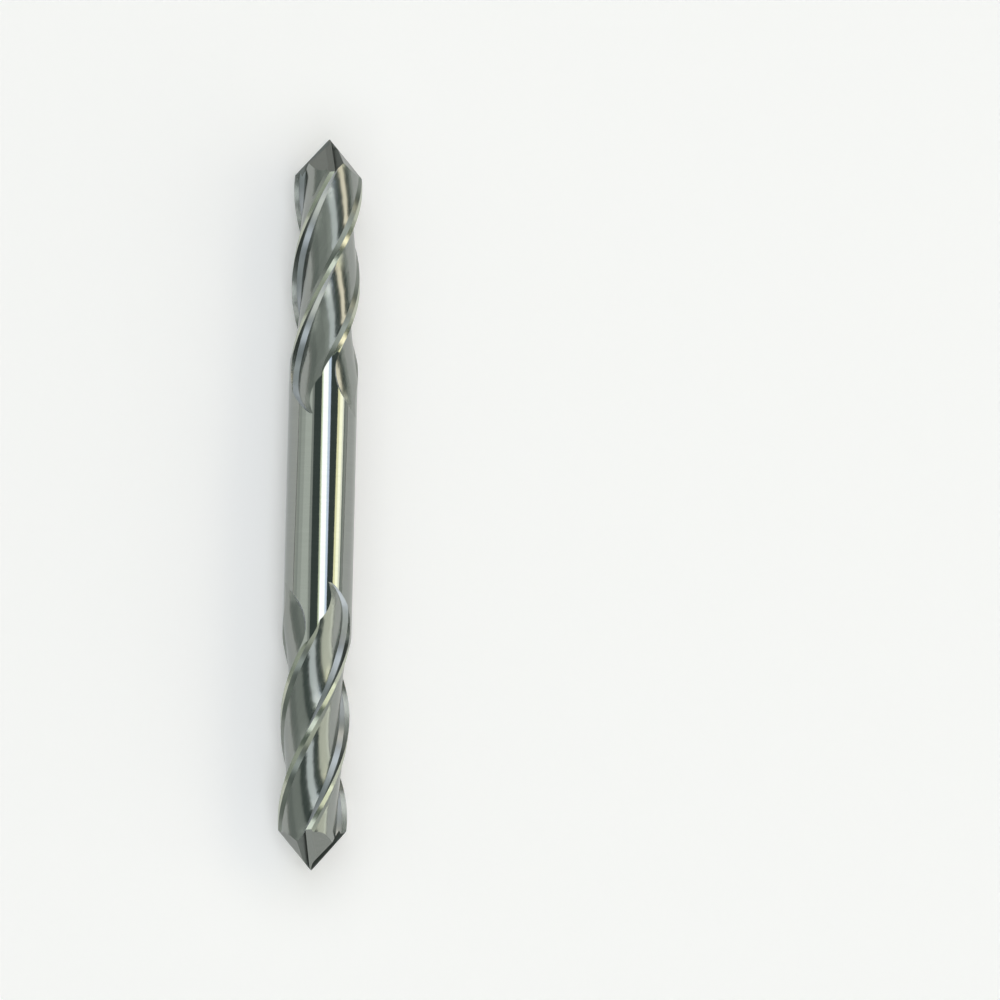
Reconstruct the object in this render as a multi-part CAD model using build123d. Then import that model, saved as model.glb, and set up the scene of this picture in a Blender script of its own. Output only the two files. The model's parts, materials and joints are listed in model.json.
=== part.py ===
from build123d import *
from math import asin, atan2, ceil, cos, degrees, pi, radians, sin, sqrt, tan
import os

# Double-ended chamfer mill, ground from one solid carbide rod. Millimetres.
#
# The rod lies along Y with its middle at the origin. The first point looks
# towards +Y and the second towards -Y. +Z is the side seen from above.
# Both ends cut to the right, and each is the other turned half a turn about Z.

# Rod. The cutters are ground a hair under the shank, so a collet passes over them.
shank_diameter = 4.7625
cutting_diameter = 4.75
overall_length = 50.8

# Point
point_angle = 82.0
point_flat = 0.12

# Helix, the same at both ends
flute_count = 4
helix_angle = 28.5
front_edge_distance = 3.5

# Flute section, square to the rod
rake_angle = 10.0
rake_height = 0.65
root_chamfer = 0.30
back_heading = 96.0
heel_rise = 13.0
back_pull = 0.70
land_overcut = 0.3

# Land behind each edge on the diameter
primary_land = 0.35
primary_relief = 13.0
secondary_land = 0.38
secondary_relief = 48.0

# Where the flutes leave the rod, and how the wheel lifts and turns there
flute_lead_in = 0.475
flute_reach = 19.6
lift_start = 13.6
runout_start = 15.4
runout_blend = 0.6
runout_slope = 0.19
lift_turn = 50.0
heel_hold = 130.0
heel_hold_power = 2.0
stations_per_turn = 16
runout_steps = 8

# Lips on the point
web_thickness = 0.16
lip_depth = 0.02
lip_land = 0.45
lip_relief = 12.0
lip_clearance = 27.0

# Notches ground in front of the lips
gash_depth = 0.45
gash_corner_radius = 0.9
gash_opening = 66.0

# Worked out from the sizes above
radius = cutting_diameter / 2
shank_radius = shank_diameter / 2
flat_radius = point_flat / 2
half_point = point_angle / 2
lead = pi * cutting_diameter / tan(radians(helix_angle))
apex_height = flat_radius / tan(radians(half_point))
point_length = radius / tan(radians(half_point)) - apex_height
tooth_turn = 360.0 / flute_count
reach = shank_diameter


def polar(distance, angle):
    """A point at a distance from the axis and at an angle, in the section's plane."""
    return Vector(distance * cos(radians(angle)), distance * sin(radians(angle)), 0)


def edge_turn(depth):
    """Angle of the first cutting edge at a depth below the point."""
    return -90.0 - 360.0 * (depth - front_edge_distance) / lead


def make_rod():
    """Plain rod with a cone at each end, cut flat at its very tip."""
    half_length = overall_length / 2
    shoulder = half_length + apex_height - shank_radius / tan(radians(half_point))
    outline = Polyline(
        (0, -half_length),
        (flat_radius, -half_length),
        (shank_radius, -shoulder),
        (shank_radius, shoulder),
        (flat_radius, half_length),
        (0, half_length),
        close=True,
    )
    return revolve(make_face(outline), Axis.Y)


def flute_section():
    """What one flute takes away, with its cutting edge at angle 0.

    The outline runs down the rake face, across a narrow flat at the root, and up
    the broad, nearly round back. A steep heel then climbs to the next tooth's land.
    """
    edge = polar(radius, 0)
    rake_heading = 180 + rake_angle
    rake = polar(1, rake_heading)
    up_back = polar(1, back_heading)

    corner = edge + rake * rake_height
    rake_end = corner - rake * root_chamfer
    back_start = corner + up_back * root_chamfer

    next_edge = polar(radius, tooth_turn)
    primary = polar(1, tooth_turn - 90 - primary_relief)
    secondary = polar(1, tooth_turn - 90 - secondary_relief)
    land_end = next_edge + primary * primary_land
    heel = land_end + secondary * secondary_land
    heel_turn = degrees(atan2(heel.Y, heel.X))
    to_heel = polar(1, heel_turn + 90 - heel_rise)
    pull = (heel - back_start).length * back_pull / 2

    above_edge = edge - rake * radius * land_overcut
    above_next = next_edge - primary * radius * land_overcut
    beyond = polar(radius * 2, tooth_turn / 2)

    outline = [
        Line(above_edge, rake_end),
        Line(rake_end, back_start),
        Bezier(back_start, back_start + up_back * pull, heel - to_heel * pull, heel),
        Line(heel, land_end),
        Line(land_end, above_next),
        Line(above_next, beyond),
        Line(beyond, above_edge),
    ]
    return Wire(outline)


def wheel_lift(depth):
    """How far the wheel has come off the rod: nothing at first, then a straight climb."""
    past = depth - runout_start
    return runout_slope * (past + sqrt(past**2 + runout_blend**2)) / 2


def make_flute():
    """One flute as a solid: a helix, then a run-out that lifts off the rod."""
    section = flute_section()
    first = -flute_lead_in
    helix_steps = ceil((lift_start - first) / (lead / stations_per_turn))
    depths = [first + (lift_start - first) * step / helix_steps for step in range(helix_steps)]
    for step in range(runout_steps + 1):
        depths.append(lift_start + (flute_reach - lift_start) * step / runout_steps)
    sections = []
    for depth in depths:
        lift = wheel_lift(depth) - wheel_lift(lift_start)
        if depth < lift_start:
            lift = 0.0
        turn = edge_turn(depth) + heel_hold * lift**heel_hold_power
        sections.append(Pos(0, 0, -depth) * Rot(0, 0, turn) * Pos(polar(lift, lift_turn)) * section)
    return Solid.make_loft(sections)


def lip_frame():
    """Turn that lays the first lip along +X, with the web's half in front of it."""
    web_turn = degrees(asin(web_thickness / 2 / radius))
    return Rot(0, 0, edge_turn(point_length) - web_turn)


def make_lip_relief(start, angle):
    """Block standing on one of the two relief faces behind a lip."""
    half = radians(half_point)
    along = Vector(sin(half), 0, -cos(half))
    inward = Vector(-cos(half), 0, -sin(half))
    behind = Vector(0, -cos(radians(angle)), 0) + inward * sin(radians(angle))
    outward = behind.cross(along)
    if outward.dot(inward) > 0:
        outward = -outward
    middle = start + along * radius
    face = Plane(origin=middle, x_dir=along, z_dir=outward)
    block = Box(reach * 3, reach * 3, reach, align=(Align.CENTER, Align.CENTER, Align.MIN))
    return face * block


def make_lip_cuts():
    """Both relief faces behind one lip."""
    half = radians(half_point)
    inward = Vector(-cos(half), 0, -sin(half))
    lip = Vector(0, web_thickness / 2, apex_height) + inward * lip_depth
    first = radians(lip_relief)
    land_end = lip + (Vector(0, -cos(first), 0) + inward * sin(first)) * lip_land
    return [make_lip_relief(lip, lip_relief), make_lip_relief(land_end, lip_clearance)]


def make_gash():
    """Notch in front of one lip, open to the outside and to the point.

    Its root runs down the axis, turns on the wheel's corner and then keeps
    gash_depth below the lip. Its far wall leans over towards the next tooth.
    """
    half = radians(half_point)
    top = apex_height + reach / 2
    corner = apex_height - gash_depth / sin(half)
    far = radius * 1.6
    far_depth = corner - far / tan(half)
    root = FilletPolyline(
        (0, 0, top),
        (0, 0, corner),
        (far, 0, far_depth),
        radius=gash_corner_radius,
    )
    rest = Polyline((far, 0, far_depth), (far, 0, top), (0, 0, top))
    profile = Face(Wire(root.edges() + rest.edges()))
    opening = radians(gash_opening)
    lean = Vector(cos(half) * cos(opening), sin(opening), sin(half) * cos(opening))
    notch = extrude(profile, amount=reach, dir=lean)
    return Pos(0, web_thickness / 2, 0) * notch


def make_end_cuts():
    """Everything ground away at the +Y end, one set for each tooth."""
    to_end = Pos(0, overall_length / 2, 0) * Rot(-90, 0, 0)
    flute = make_flute()
    lip_tools = [lip_frame() * tool for tool in make_lip_cuts() + [make_gash()]]
    cuts = []
    for tooth in range(flute_count):
        turn = Rot(0, 0, tooth_turn * tooth)
        cuts += [to_end * turn * tool for tool in [flute] + lip_tools]
    return cuts


def make_mill():
    """The whole mill: the rod less the cuts of both ends."""
    first_end = make_end_cuts()
    second_end = [Rot(0, 0, 180) * cut for cut in first_end]
    mill = make_rod()
    for cut in first_end + second_end:
        mill = mill - cut
    return mill


chamfer_mill = make_mill()
os.makedirs("parts", exist_ok=True)
export_step(chamfer_mill, "parts/chamfer_mill.step")
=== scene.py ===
# %% [markdown]
# # A double-ended chamfer mill
#
# This cutter is one rod of ground carbide, two inches long. Each end has four helical flutes and a
# four-lip point, and the plain round middle is what a collet holds. The CAD model already has the exact
# shape, so this lesson is about its skin: how a bright, ground surface is made to read as metal.
#
# %% [markdown]
# The frame comes first. It loads the CAD solid in the place that every other tool uses. A new Blender
# file may hold a cube, a lamp and a camera, and those are deleted before the frame comes in, so that
# the box measured here is the cutter's alone.
#
# %% Load the frame
import bpy
import json
from math import cos, hypot, pi, radians, sin, tan
from mathutils import Matrix, Vector

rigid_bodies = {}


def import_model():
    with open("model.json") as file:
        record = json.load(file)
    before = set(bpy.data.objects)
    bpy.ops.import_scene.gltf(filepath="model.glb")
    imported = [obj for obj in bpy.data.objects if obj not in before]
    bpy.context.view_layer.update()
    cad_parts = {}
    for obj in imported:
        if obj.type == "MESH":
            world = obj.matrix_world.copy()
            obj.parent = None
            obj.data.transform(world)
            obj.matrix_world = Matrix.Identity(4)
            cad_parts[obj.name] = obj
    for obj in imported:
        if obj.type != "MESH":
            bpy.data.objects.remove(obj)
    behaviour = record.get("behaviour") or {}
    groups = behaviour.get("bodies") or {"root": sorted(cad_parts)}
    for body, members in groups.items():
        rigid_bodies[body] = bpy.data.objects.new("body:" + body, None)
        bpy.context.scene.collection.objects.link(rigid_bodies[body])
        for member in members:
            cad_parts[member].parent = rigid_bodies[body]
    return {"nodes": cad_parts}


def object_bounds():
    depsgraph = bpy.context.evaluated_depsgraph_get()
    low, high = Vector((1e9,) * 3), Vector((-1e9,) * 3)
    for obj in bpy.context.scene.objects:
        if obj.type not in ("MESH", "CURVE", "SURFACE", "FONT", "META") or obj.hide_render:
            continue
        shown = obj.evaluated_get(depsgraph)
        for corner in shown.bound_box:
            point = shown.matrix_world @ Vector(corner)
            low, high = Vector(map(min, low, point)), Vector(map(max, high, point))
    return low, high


for leftover in list(bpy.data.objects):
    bpy.data.objects.remove(leftover)
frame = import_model()
cad_low, cad_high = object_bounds()
mill = frame["nodes"]["chamfer_mill"]
print("cutter box in mm:", [round(1000 * side, 3) for side in cad_high - cad_low])

# %% [markdown]
# ## What the numbers are
#
# The cutter lies along Y with its middle at the origin, its first end towards +Y. Its own size is read
# from the frame, and the helix from the way it was ground: a flute turns once round the tool in one lead.
#
# %% Sizes of the cutter
MM = 0.001
radius = cad_high.x
half_length = cad_high.y
helix_angle = 28.5
lead = 2 * pi * radius / tan(radians(helix_angle))
print("radius", round(radius / MM, 3), "mm, lead", round(lead / MM, 2), "mm")

# %% [markdown]
# ## Which wheel ground which face
#
# A real cutter is ground in several passes, and each wheel leaves its own lines. The CAD mesh keeps its
# faces apart, so each patch of joined triangles is one ground face.
#
# %% Find the ground faces
def joined_patches(mesh):
    """The mesh's faces in groups that share vertices, one group for each ground face."""
    leader = list(range(len(mesh.vertices)))

    def find(vertex):
        while leader[vertex] != vertex:
            leader[vertex] = leader[leader[vertex]]
            vertex = leader[vertex]
        return vertex

    for face in mesh.polygons:
        first = find(face.vertices[0])
        for other in face.vertices[1:]:
            leader[find(other)] = first
    patches = {}
    for face in mesh.polygons:
        patches.setdefault(find(face.vertices[0]), []).append(face)
    return list(patches.values())


patches = joined_patches(mill.data)
print("ground faces:", len(patches))

# %% [markdown]
# A patch is told by where it lies and by how its normals lean. Two leans are measured, each from 0 to 1:
# outward, away from the tool's axis, and endwise, along it.
#
# The middle of the rod is the only patch that crosses the origin, and the faces of a point all lie
# within 2.9 mm of the tip. Of the rest, three stay close to the rod's surface: the land behind each
# cutting edge looks outwards, the heel behind the land leans away, and the rake face looks round the
# tool. The broad back of the flute and the narrow strip at its root go deep.
#
# %% Sort them
point_depth = 2.9 * MM
land_depth = 0.4 * MM
land_outward = 0.9
heel_outward = 0.5
flute_outward = 0.85
lip_outward = 0.7
lip_endwise = 0.95
kind_names = ["shank", "flute", "root", "rake", "heel", "land", "point", "gash"]
SHANK, FLUTE, ROOT, RAKE, HEEL, LAND, POINT, GASH = range(len(kind_names))


def kind_of(mesh, patch):
    """Which wheel ground a patch, told by where it lies and how it faces."""
    corners = [mesh.vertices[v].co for face in patch for v in face.vertices]
    nearest = min(abs(corner.y) for corner in corners)
    shallow = min(hypot(corner.x, corner.z) for corner in corners)
    area = sum(face.area for face in patch)
    outward = 0
    endwise = 0
    for face in patch:
        out = Vector((face.center.x, 0, face.center.z)).normalized()
        outward += face.area * face.normal.dot(out) / area
        endwise += face.area * abs(face.normal.y) / area
    if min(corner.y for corner in corners) < 0 < max(corner.y for corner in corners):
        return SHANK
    if nearest > half_length - point_depth:
        return POINT if outward > lip_outward or endwise > lip_endwise else GASH
    if shallow > radius - land_depth:
        if outward > land_outward:
            return LAND
        return HEEL if outward > heel_outward else RAKE
    return FLUTE if outward > flute_outward else ROOT


kinds = [SHANK] * len(mill.data.polygons)
counts = [0] * len(kind_names)
for patch in patches:
    kind = kind_of(mill.data, patch)
    counts[kind] += 1
    for face in patch:
        kinds[face.index] = kind
print("patches of each kind:", dict(zip(kind_names, counts)))

# %% [markdown]
# ## Lines that follow the grinding wheel
#
# A wheel drags its grit along one direction, so a ground face is smooth along the lines and rough
# across them. Noise that is stretched far along one axis gives just that. One shader node group draws
# the lines for every finish, and these two helpers keep its many small nodes readable.
#
# %% Helpers for node groups
def new_group(name, inputs, outputs):
    """An empty shader group with named sockets, and its two end nodes."""
    group = bpy.data.node_groups.new(name, "ShaderNodeTree")
    for socket_name, socket_type, value in inputs:
        socket = group.interface.new_socket(socket_name, in_out="INPUT", socket_type=socket_type)
        if value is not None:
            socket.default_value = value
    for socket_name in outputs:
        group.interface.new_socket(socket_name, in_out="OUTPUT", socket_type="NodeSocketFloat")
    return group, group.nodes.new("NodeGroupInput"), group.nodes.new("NodeGroupOutput")


def math_node(tree, operation, first, second=None):
    """The output of a Math node whose inputs are numbers or other outputs."""
    node = tree.nodes.new("ShaderNodeMath")
    node.operation = operation
    for place, value in enumerate((first, second)):
        if value is None:
            continue
        if isinstance(value, (int, float)):
            node.inputs[place].default_value = value
        else:
            tree.links.new(value, node.inputs[place])
    return node.outputs[0]


lines_group, source, result = new_group(
    "ground lines",
    [
        ("Vector", "NodeSocketVector", None),
        ("Winding", "NodeSocketFloat", 0.0),
        ("Squeeze", "NodeSocketVector", (1.0, 1.0, 0.03)),
        ("Lines per Metre", "NodeSocketFloat", 9000.0),
        ("Low", "NodeSocketFloat", 0.08),
        ("High", "NodeSocketFloat", 0.16),
    ],
    ["Height", "Roughness", "Shade"],
)
print("group:", lines_group.name)

# %% [markdown]
# On a flute the lines wind round the tool. So the group turns each spot of the surface back by the angle
# that the helix has reached there, which lays a flute straight along the tool. Winding at 0 leaves the
# spot where it is, and at 1 turns it back fully.
#
# %% Unwind the helix
split = lines_group.nodes.new("ShaderNodeSeparateXYZ")
lines_group.links.new(source.outputs["Vector"], split.inputs[0])
across, level, upward = split.outputs["X"], split.outputs["Y"], split.outputs["Z"]
turn = math_node(lines_group, "MULTIPLY", level, 2 * pi / lead)
phase = math_node(lines_group, "ADD", math_node(lines_group, "ARCTAN2", upward, across), turn)
square = math_node(
    lines_group, "ADD",
    math_node(lines_group, "MULTIPLY", across, across),
    math_node(lines_group, "MULTIPLY", upward, upward),
)
from_axis = math_node(lines_group, "SQRT", square)
unwound = lines_group.nodes.new("ShaderNodeCombineXYZ")
for socket, wave in (("X", "SINE"), ("Y", "COSINE")):
    turned = math_node(lines_group, "MULTIPLY", math_node(lines_group, wave, phase), from_axis)
    lines_group.links.new(turned, unwound.inputs[socket])
lines_group.links.new(level, unwound.inputs["Z"])
choice = lines_group.nodes.new("ShaderNodeMix")
choice.data_type = "VECTOR"
lines_group.links.new(source.outputs["Winding"], choice.inputs["Factor"])
lines_group.links.new(source.outputs["Vector"], choice.inputs["A"])
lines_group.links.new(unwound.outputs[0], choice.inputs["B"])
print("lead of the lines:", round(lead / MM, 2), "mm")

# %% [markdown]
# Two noises are then drawn on the squeezed spot. The fine one is the height of the lines. With the slow
# one it makes a shade that lets the metal breathe, and a roughness that varies along with it. Noise
# seldom leaves the range from 0.3 to 0.7, so that range is spread over the whole of the roughness.
#
# %% Draw the lines
slow_scale = 0.12
fine_share = 0.6
noise_low, noise_high = 0.3, 0.7
squeeze = lines_group.nodes.new("ShaderNodeVectorMath")
squeeze.operation = "MULTIPLY"
lines_group.links.new(choice.outputs["Result"], squeeze.inputs[0])
lines_group.links.new(source.outputs["Squeeze"], squeeze.inputs[1])
fine = lines_group.nodes.new("ShaderNodeTexNoise")
fine.inputs["Detail"].default_value = 3.0
slow = lines_group.nodes.new("ShaderNodeTexNoise")
slow.inputs["Detail"].default_value = 2.0
for noise in (fine, slow):
    lines_group.links.new(squeeze.outputs[0], noise.inputs["Vector"])
lines_group.links.new(source.outputs["Lines per Metre"], fine.inputs["Scale"])
slower = math_node(lines_group, "MULTIPLY", source.outputs["Lines per Metre"], slow_scale)
lines_group.links.new(slower, slow.inputs["Scale"])
mixed = math_node(
    lines_group, "ADD",
    math_node(lines_group, "MULTIPLY", fine.outputs["Fac"], fine_share),
    math_node(lines_group, "MULTIPLY", slow.outputs["Fac"], 1 - fine_share),
)
spread = lines_group.nodes.new("ShaderNodeMapRange")
spread.inputs["From Min"].default_value = noise_low
spread.inputs["From Max"].default_value = noise_high
lines_group.links.new(mixed, spread.inputs["Value"])
lines_group.links.new(source.outputs["Low"], spread.inputs["To Min"])
lines_group.links.new(source.outputs["High"], spread.inputs["To Max"])
lines_group.links.new(fine.outputs["Fac"], result.inputs["Height"])
lines_group.links.new(spread.outputs[0], result.inputs["Roughness"])
lines_group.links.new(mixed, result.inputs["Shade"])
print("nodes in the group:", len(lines_group.nodes))

# %% [markdown]
# ## The carbide
#
# Tungsten carbide is a grey, slightly green metal, darker than steel. Each ground face gets the same
# recipe with its own lines: round the shank, along the flutes, slanting over the point. A fine wheel
# leaves the shank nearly a mirror, and the coarser flute wheel blurs what the flutes show.
#
# %% One recipe for every ground face
def ground_carbide(name, winding, squeeze, per_metre, roughness, bump, tones):
    """A carbide surface whose grinding lines lie as squeeze says."""
    material = bpy.data.materials.new(name)
    material.use_nodes = True
    tree = material.node_tree
    shader = tree.nodes["Principled BSDF"]
    shader.inputs["Metallic"].default_value = 1.0
    lines = tree.nodes.new("ShaderNodeGroup")
    lines.node_tree = lines_group
    lines.inputs["Squeeze"].default_value = squeeze
    lines.inputs["Lines per Metre"].default_value = per_metre
    lines.inputs["Low"].default_value, lines.inputs["High"].default_value = roughness
    lines.inputs["Winding"].default_value = winding
    coordinates = tree.nodes.new("ShaderNodeTexCoord")
    tree.links.new(coordinates.outputs["Object"], lines.inputs["Vector"])
    tone = tree.nodes.new("ShaderNodeMix")
    tone.data_type = "RGBA"
    for socket, colour in zip(("A", "B"), tones):
        tone.inputs[socket].default_value = (*colour, 1)
    tree.links.new(lines.outputs["Shade"], tone.inputs["Factor"])
    tree.links.new(tone.outputs["Result"], shader.inputs["Base Color"])
    tree.links.new(lines.outputs["Roughness"], shader.inputs["Roughness"])
    rise = tree.nodes.new("ShaderNodeBump")
    rise.inputs["Strength"].default_value = 1.0
    rise.inputs["Distance"].default_value = bump
    tree.links.new(lines.outputs["Height"], rise.inputs["Height"])
    tree.links.new(rise.outputs["Normal"], shader.inputs["Normal"])
    return material


# %% [markdown]
# Each row below names a finish, and says whether its lines wind with the helix and which way they run.
# Then come the lines per metre, the least and the greatest roughness, the height of the lines in metres
# and two tones, a dark and a light one.
#
# The land behind a cutting edge is the last face to be ground. Its tones are lighter and a little
# warm: a painted reflection of the lamps it mirrors. The light, cold tones of the strip at the flute's
# root are a painted reflection of the overhead strip. The rows are in the order of the kinds above, so a
# face's kind is also the number of its material.
#
# %% The finishes
carbide = ((0.27, 0.285, 0.27), (0.34, 0.355, 0.335))
# Painted reflection: the land's light, warm tones stand in for the lamps that the land mirrors.
land_painted_reflection = ((0.44, 0.465, 0.39), (0.54, 0.565, 0.47))
# Painted reflection: the root's light, cold tones stand in for the overhead strip that the root mirrors.
root_painted_reflection = ((0.37, 0.395, 0.42), (0.49, 0.515, 0.54))
dull_heel = ((0.20, 0.22, 0.20), (0.28, 0.30, 0.27))
# Painted shade: the point's darker tones and the gash's near black stand in for shade and shadow on the
# same carbide.
point_painted_shade = ((0.17, 0.18, 0.165), (0.23, 0.24, 0.225))
gash_painted_shadow = ((0.11, 0.12, 0.11), (0.15, 0.16, 0.15))
straight, wound = 0.0, 1.0
along_flute = (1.0, 1.0, 0.03)
round_shank = (0.05, 1.0, 0.05)
round_point = (0.08, 1.0, 0.08)
finish_rows = [
    ("ground shank", straight, round_shank, 12000, (0.05, 0.09), 2e-8, carbide),
    ("ground flute", wound, along_flute, 7000, (0.15, 0.23), 2e-7, carbide),
    ("flute root", wound, along_flute, 7000, (0.32, 0.42), 1e-7, root_painted_reflection),
    ("rake face", wound, along_flute, 9000, (0.20, 0.30), 1.5e-7, carbide),
    ("dull heel", wound, along_flute, 9000, (0.26, 0.36), 1.5e-7, dull_heel),
    ("bright land", wound, along_flute, 9000, (0.17, 0.25), 2e-7, land_painted_reflection),
    ("ground point", straight, round_point, 7000, (0.20, 0.28), 1e-7, point_painted_shade),
    ("ground gash", straight, round_point, 7000, (0.28, 0.38), 1e-7, gash_painted_shadow),
]
mill.data.materials.clear()
for row in finish_rows:
    mill.data.materials.append(ground_carbide(*row))
mill.data.polygons.foreach_set("material_index", kinds)
mill.data.update()
print("finishes:", [finish.name for finish in mill.data.materials])

# %% [markdown]
# ## The table it lies on
#
# The cutter lies on plain white paper. A pale floor is also half of what the metal shows, so its own
# colour stays below white. A little glow, seen by the eye and by the metal alike, lifts it the rest of
# the way and leaves the cutter's shadow on it.
#
# %% Floor
floor_radius = 3.0
paper_colour = (0.94, 0.915, 0.935, 1)
glow = 0.17
bpy.ops.mesh.primitive_circle_add(
    vertices=96, radius=floor_radius, fill_type="NGON", location=(0, 0, -radius)
)
floor = bpy.context.object
floor.name = "pale_floor"
paper = bpy.data.materials.new("pale paper")
paper.use_nodes = True
page = paper.node_tree
page_shader = page.nodes["Principled BSDF"]
page_shader.inputs["Base Color"].default_value = paper_colour
page_shader.inputs["Roughness"].default_value = 0.9
page_shader.inputs["Emission Color"].default_value = (1, 1, 1, 1)
light_path = page.nodes.new("ShaderNodeLightPath")
seen = math_node(page, "MAXIMUM", light_path.outputs["Is Camera Ray"], light_path.outputs["Is Glossy Ray"])
seen = math_node(page, "MAXIMUM", seen, light_path.outputs["Is Transmission Ray"])
page.links.new(math_node(page, "MULTIPLY", seen, glow), page_shader.inputs["Emission Strength"])
floor.data.materials.append(paper)
print("floor at z =", round(-radius / MM, 3), "mm")

# %% [markdown]
# ## A dark room
#
# Metal has no look of its own: it shows the room. This one is dark with a green cast, like the window
# of a workshop at night, and has a low grey wall all round, which the sloping faces of the points pick
# up. From full_wall upwards it fades, and above no_wall there is only the room. Both heights are the
# sine of the angle above the horizon.
#
# %% World
full_wall, no_wall = 0.04, 0.16
wall_grey = (0.30, 0.31, 0.29, 1)
room_green = (0.11, 0.14, 0.13, 1)
world = bpy.data.worlds.new("studio")
bpy.context.scene.world = world
world.use_nodes = True
sky = world.node_tree
direction = sky.nodes.new("ShaderNodeTexCoord")
height = sky.nodes.new("ShaderNodeSeparateXYZ")
sky.links.new(direction.outputs["Generated"], height.inputs[0])
wall = sky.nodes.new("ShaderNodeValToRGB")
low_stop, high_stop = wall.color_ramp.elements
low_stop.position, low_stop.color = full_wall, wall_grey
high_stop.position, high_stop.color = no_wall, room_green
sky.links.new(height.outputs["Z"], wall.inputs["Fac"])
sky.links.new(wall.outputs["Color"], sky.nodes["Background"].inputs["Color"])
print("world:", world.name)

# %% [markdown]
# ## Strip lamps
#
# A round bar mirrors a long lamp as a narrow line, at half the lamp's angle round the bar. So each lamp
# here is given by the two angles between which the cutter sees it, and by its reach, the two angles
# between which it runs along the cutter. The bright line on the shank, the dark one beside it and the
# cream one beyond are two lamps and the dark room between them.
#
# A lamp's power is its brightness times its area times pi, so two lamps of different sizes with the same
# brightness show equally white in the metal. The camera doesn't see them itself.
#
# %% Lamps
lamp_distance = 2.0


def area_lamp(name, place, rotation, wide, long, brightness, colour):
    """A flat lamp of even brightness that shows only in what it lights."""
    lamp = bpy.data.lights.new(name, "AREA")
    lamp.shape = "RECTANGLE"
    lamp.size = wide
    lamp.size_y = long
    lamp.color = colour
    lamp.energy = brightness * pi * wide * long
    hung = bpy.data.objects.new(name, lamp)
    hung.location = place
    hung.rotation_euler = rotation
    hung.visible_camera = False
    bpy.context.scene.collection.objects.link(hung)


def strip_lamp(name, start, end, reach, brightness, colour):
    """A long lamp over the cutter, seen from it between two angles round it and its reach along it."""
    middle = radians((start + end) / 2)
    wide = 2 * lamp_distance * tan(radians(end - start) / 2)
    first, last = (lamp_distance * tan(radians(angle)) for angle in reach)
    place = (lamp_distance * sin(middle), (first + last) / 2, lamp_distance * cos(middle))
    area_lamp(name, place, (0, middle, 0), wide, last - first, brightness, colour)


print("lamps hang", lamp_distance, "m away")

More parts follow.
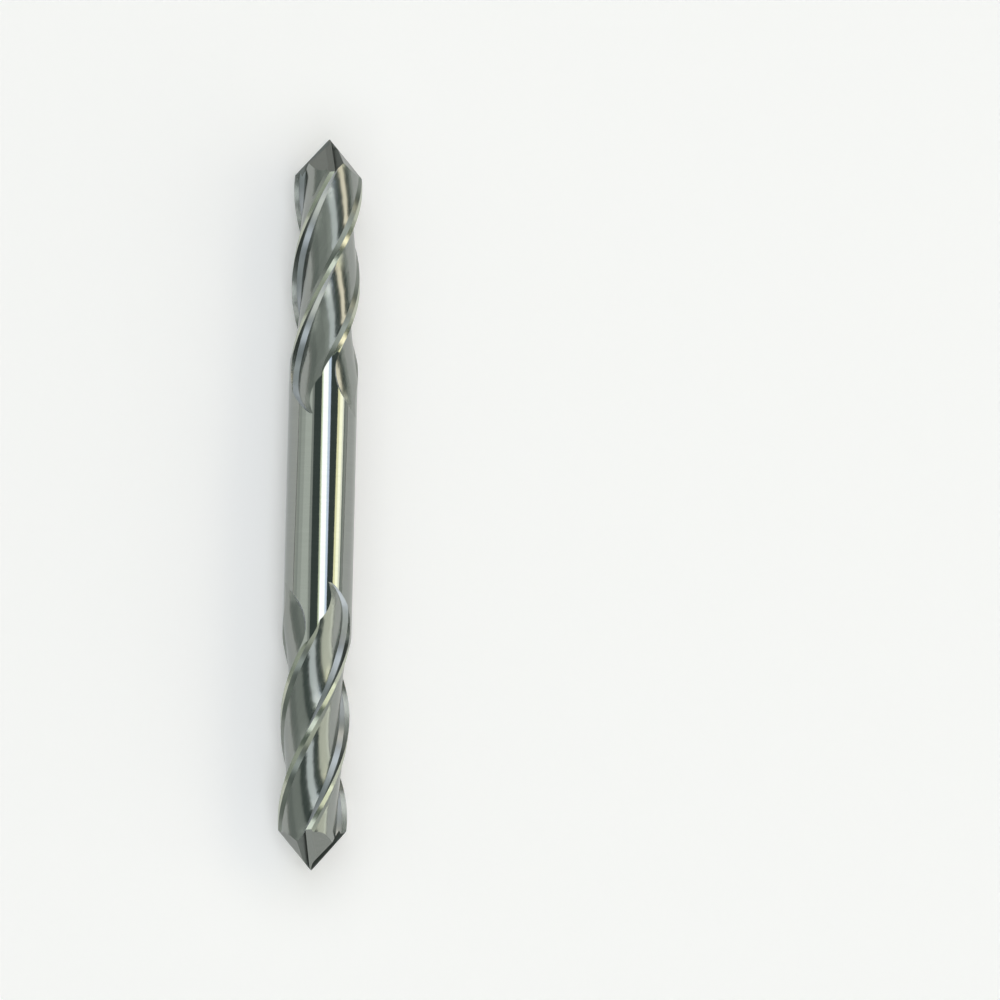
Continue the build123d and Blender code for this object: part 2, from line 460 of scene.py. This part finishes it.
# %% [markdown]
# The camera leans towards the second end, so the shank mirrors only what hangs a few degrees towards
# the first: the near reach. The flutes slope, and so they see past it, those of the first end on one
# side and those of the second on the other. Each end has its own, dimmer lamps there. The cards on the
# left are a wall that grows darker towards the table.
#
# %% Hang the lamps
white = (1.0, 1.0, 1.0)
blue_white = (0.70, 0.79, 1.0)
yellow_white = (0.92, 1.0, 0.70)
gold = (1.0, 0.93, 0.56)
cream = (1.0, 0.96, 0.74)
pale_cream = (1.0, 0.98, 0.86)
green_white = (0.97, 1.0, 0.93)
cool_white = (0.93, 0.97, 1.0)
straw = (1.0, 0.985, 0.83)
peach = (1.0, 0.88, 0.70)
near, far = (2.5, 11.5), (-45, 45)
first_end = (near[1], far[1])
second_end = (far[0], near[0])
lamp_rows = [
    ("overhead strip", 2.0, 19.0, near, 3.2, white),
    ("overhead strip's warm edge", -2.0, 2.0, near, 1.6, yellow_white),
    ("overhead strip's cold edge", 19.0, 26.0, near, 2.2, blue_white),
    ("warm strip", 58.0, 69.0, near, 3.0, cream),
    ("warm strip's gold edge", 50.0, 58.0, near, 2.2, gold),
    ("warm strip's pale edge", 69.0, 75.0, near, 2.0, pale_cream),
    ("right card", 77.0, 88.0, far, 0.45, green_white),
    ("left card", -34.0, -26.0, near, 0.5, green_white),
    ("left card", -60.0, -34.0, near, 1.0, green_white),
    ("left card", -74.0, -60.0, near, 0.78, green_white),
    ("left card", -88.0, -74.0, near, 0.58, green_white),
    ("end lamp", -40.0, 40.0, (-62, -46), 2.0, white),
    ("end lamp", -40.0, 40.0, (46, 62), 2.0, white),
    ("overhead strip, first end", -8.0, 14.0, first_end, 1.25, cool_white),
    ("shoulder, first end", -26.0, -8.0, first_end, 0.5, green_white),
    ("peach strip, first end", 42.0, 58.0, first_end, 2.2, peach),
    ("overhead strip, second end", 0.0, 23.8, second_end, 1.25, cool_white),
    ("warm strip, second end", 46.0, 86.0, second_end, 1.15, straw),
    ("left wall's end", -60.0, -26.0, first_end, 0.36, green_white),
    ("left wall's end", -88.0, -60.0, first_end, 0.24, green_white),
    ("left wall's end", -60.0, -26.0, second_end, 0.36, green_white),
    ("left wall's end", -88.0, -60.0, second_end, 0.24, green_white),
]
for row in lamp_rows:
    strip_lamp(*row)
print(len(lamp_rows), "strip lamps")

# %% [markdown]
# The point of the second end looks down at the table, away from every strip. One more card stands low
# in front of it, a little to the right, and turns its ground faces from black to grey.
#
# %% Stand the front card
front = Vector((0.37, -0.91, 0.20)).normalized()
facing = front.to_track_quat("Z", "Y").to_euler()
card_width, card_height = 2.2, 0.6
card_brightness = 1.1
area_lamp("front card", front * lamp_distance, facing, card_width, card_height, card_brightness, white)
lamps = [item.name for item in bpy.data.objects if item.type == "LIGHT"]
print(len(lamps), "lamps")

# %% [markdown]
# ## The camera
#
# The photo is taken from far off and nearly straight above, from a little towards the second end. A
# long lens at a matching distance keeps the cutter's two sides parallel. The cutter stands left of the
# picture's middle, so the camera aims to the right of it.
#
# %% Camera
tilt = radians(6.6)
roll = radians(1.45)
lens = 150.0
sensor = 36.0
field = 69.08 * MM
aim_right = 12.405 * MM
aim_up = 0.09 * MM
back = Vector((0, -sin(tilt), cos(tilt)))
along = Vector((0, cos(tilt), sin(tilt)))
right = Vector((cos(roll), 0, 0)) + along * sin(roll)
up = along * cos(roll) - Vector((sin(roll), 0, 0))
distance = field * lens / sensor
camera = bpy.data.cameras.new("camera")
camera.lens = lens
camera.sensor_width = sensor
camera.clip_start = 0.01
camera.clip_end = 20
watching = bpy.data.objects.new("camera", camera)
bpy.context.scene.collection.objects.link(watching)
eye = back * distance
target = right * aim_right + up * aim_up
look = (target - eye).normalized()
side = look.cross(up).normalized()
top = side.cross(look)
watching.matrix_world = Matrix.Translation(eye) @ Matrix((side, top, -look)).transposed().to_4x4()
bpy.context.scene.camera = watching
bpy.context.scene.view_settings.view_transform = "Standard"
print("camera", round(distance / MM), "mm away")
